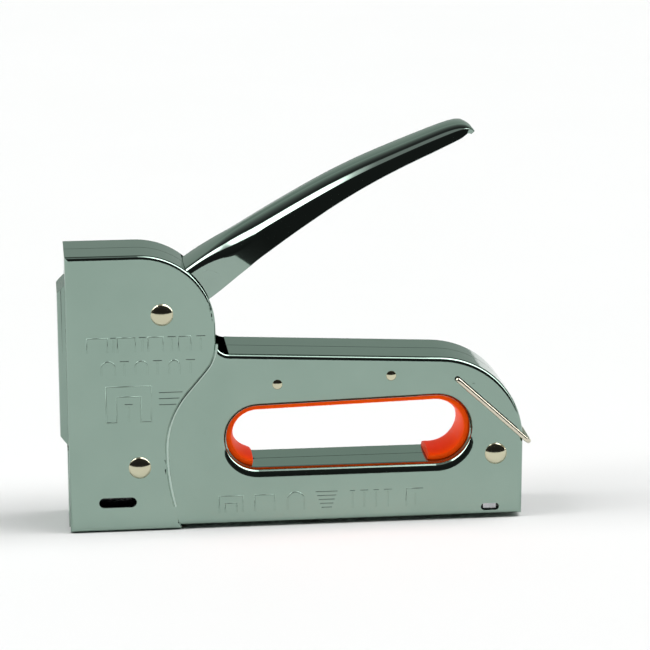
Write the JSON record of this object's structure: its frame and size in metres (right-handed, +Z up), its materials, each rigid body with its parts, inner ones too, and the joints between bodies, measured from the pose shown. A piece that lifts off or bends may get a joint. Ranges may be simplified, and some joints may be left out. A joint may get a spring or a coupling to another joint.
{
  "type": "staple gun",
  "caption": "Heavy-duty hand staple gun: chromed pressed-steel body with an orange-lined finger slot, squeeze lever, spring plunger, bottom magazine and a wire lever lock.",
  "frame": {"origin": "centre of the gun's box in X and Y, on the surface it stands on", "axes": "+X from the nose to the rear of the grip, +Z up, Y = 0 on the seam between the housing halves"},
  "size_m": [0.1812, 0.0334, 0.1533],
  "materials": {
    "housing_chrome": "bright chrome over pressed steel",
    "lever_chrome": "bright chrome over pressed steel",
    "rivet_nickel": "bright nickel, slightly warm",
    "wire_nickel": "nickel-plated spring wire",
    "bare_steel": "zinc-plated or bare pressed steel, satin",
    "hardened_steel": "hardened, ground, lightly oiled",
    "spring_steel": "oiled spring wire and strip",
    "orange_plastic": "glossy injection-moulded plastic",
    "black_rubber": "dense rubber",
    "black_plastic": "moulded plastic"
  },
  "bodies": {
    "housing": {"left_housing": "housing_chrome", "right_housing": "housing_chrome", "front_cover": "housing_chrome", "nose_plate": "housing_chrome", "pivot_rivet": "rivet_nickel", "pivot_bush": "bare_steel", "lower_rivet": "rivet_nickel", "lower_spacer": "bare_steel", "rear_rivet": "rivet_nickel", "rear_spacer": "bare_steel", "small_rivets": "rivet_nickel", "small_spacers": "bare_steel", "grip_liner": "orange_plastic", "spring_cap": "bare_steel", "mainspring": "spring_steel", "bumper": "black_rubber", "bumper_bracket": "bare_steel", "lever_spring": "spring_steel", "magazine_channel": "bare_steel", "staple_core": "bare_steel"},
    "lever": {"lever": "lever_chrome", "lifter_pins": "bare_steel"},
    "hammer": {"plunger": "bare_steel", "driver_blade": "hardened_steel", "blade_rivets": "bare_steel"},
    "lock": {"wire_lock": "wire_nickel"},
    "pusher": {"end_cap": "black_plastic", "pusher_rod": "bare_steel", "pusher_spring": "spring_steel"},
    "feeder": {"follower": "hardened_steel"},
    "left_latch": {"left_latch_arm": "spring_steel"},
    "right_latch": {"right_latch_arm": "spring_steel"}
  },
  "joints": [
    {"name": "lever_hinge", "type": "hinge", "parent": "housing", "child": "lever", "pos_m": [-0.05151, 0, 0.0852], "axis": [0, 1, 0], "range_deg": [0, 30], "stiffness_Nm_per_rad": 1.2, "springref_deg": -17.19, "deforming": ["lever_spring", "mainspring"]},
    {"name": "hammer_slide", "type": "slide", "parent": "housing", "child": "hammer", "axis": [0, 0, 1], "range_m": [0, 0.0152]},
    {"name": "lock_hinge", "type": "hinge", "parent": "housing", "child": "lock", "pos_m": [0.06129, 0, 0.0565], "axis": [0, -1, 0], "range_deg": [0, 104]},
    {"name": "pusher_slide", "type": "slide", "parent": "housing", "child": "pusher", "axis": [1, 0, 0], "range_m": [0, 0.11]},
    {"name": "follower_slide", "type": "slide", "parent": "pusher", "child": "feeder", "axis": [1, 0, 0], "range_m": [0, 0.09], "stiffness_N_per_m": 20, "springref_m": -0.06, "deforming": ["pusher_spring"]},
    {"name": "left_latch_hinge", "type": "hinge", "parent": "pusher", "child": "left_latch", "pos_m": [0.06189, -0.0084, 0.007], "axis": [0, 0, 1], "range_deg": [0, 5.5], "stiffness_Nm_per_rad": 2, "springref_deg": -2.86},
    {"name": "right_latch_hinge", "type": "hinge", "parent": "pusher", "child": "right_latch", "pos_m": [0.06189, 0.0084, 0.007], "axis": [0, 0, -1], "range_deg": [0, 5.5], "stiffness_Nm_per_rad": 2, "springref_deg": -2.86}
  ],
  "couplings": [
    {"joint": "hammer_slide", "follows": "lever_hinge", "m_per_rad": 0.02867},
    {"joint": "right_latch_hinge", "follows": "left_latch_hinge", "ratio": 1}
  ]
}
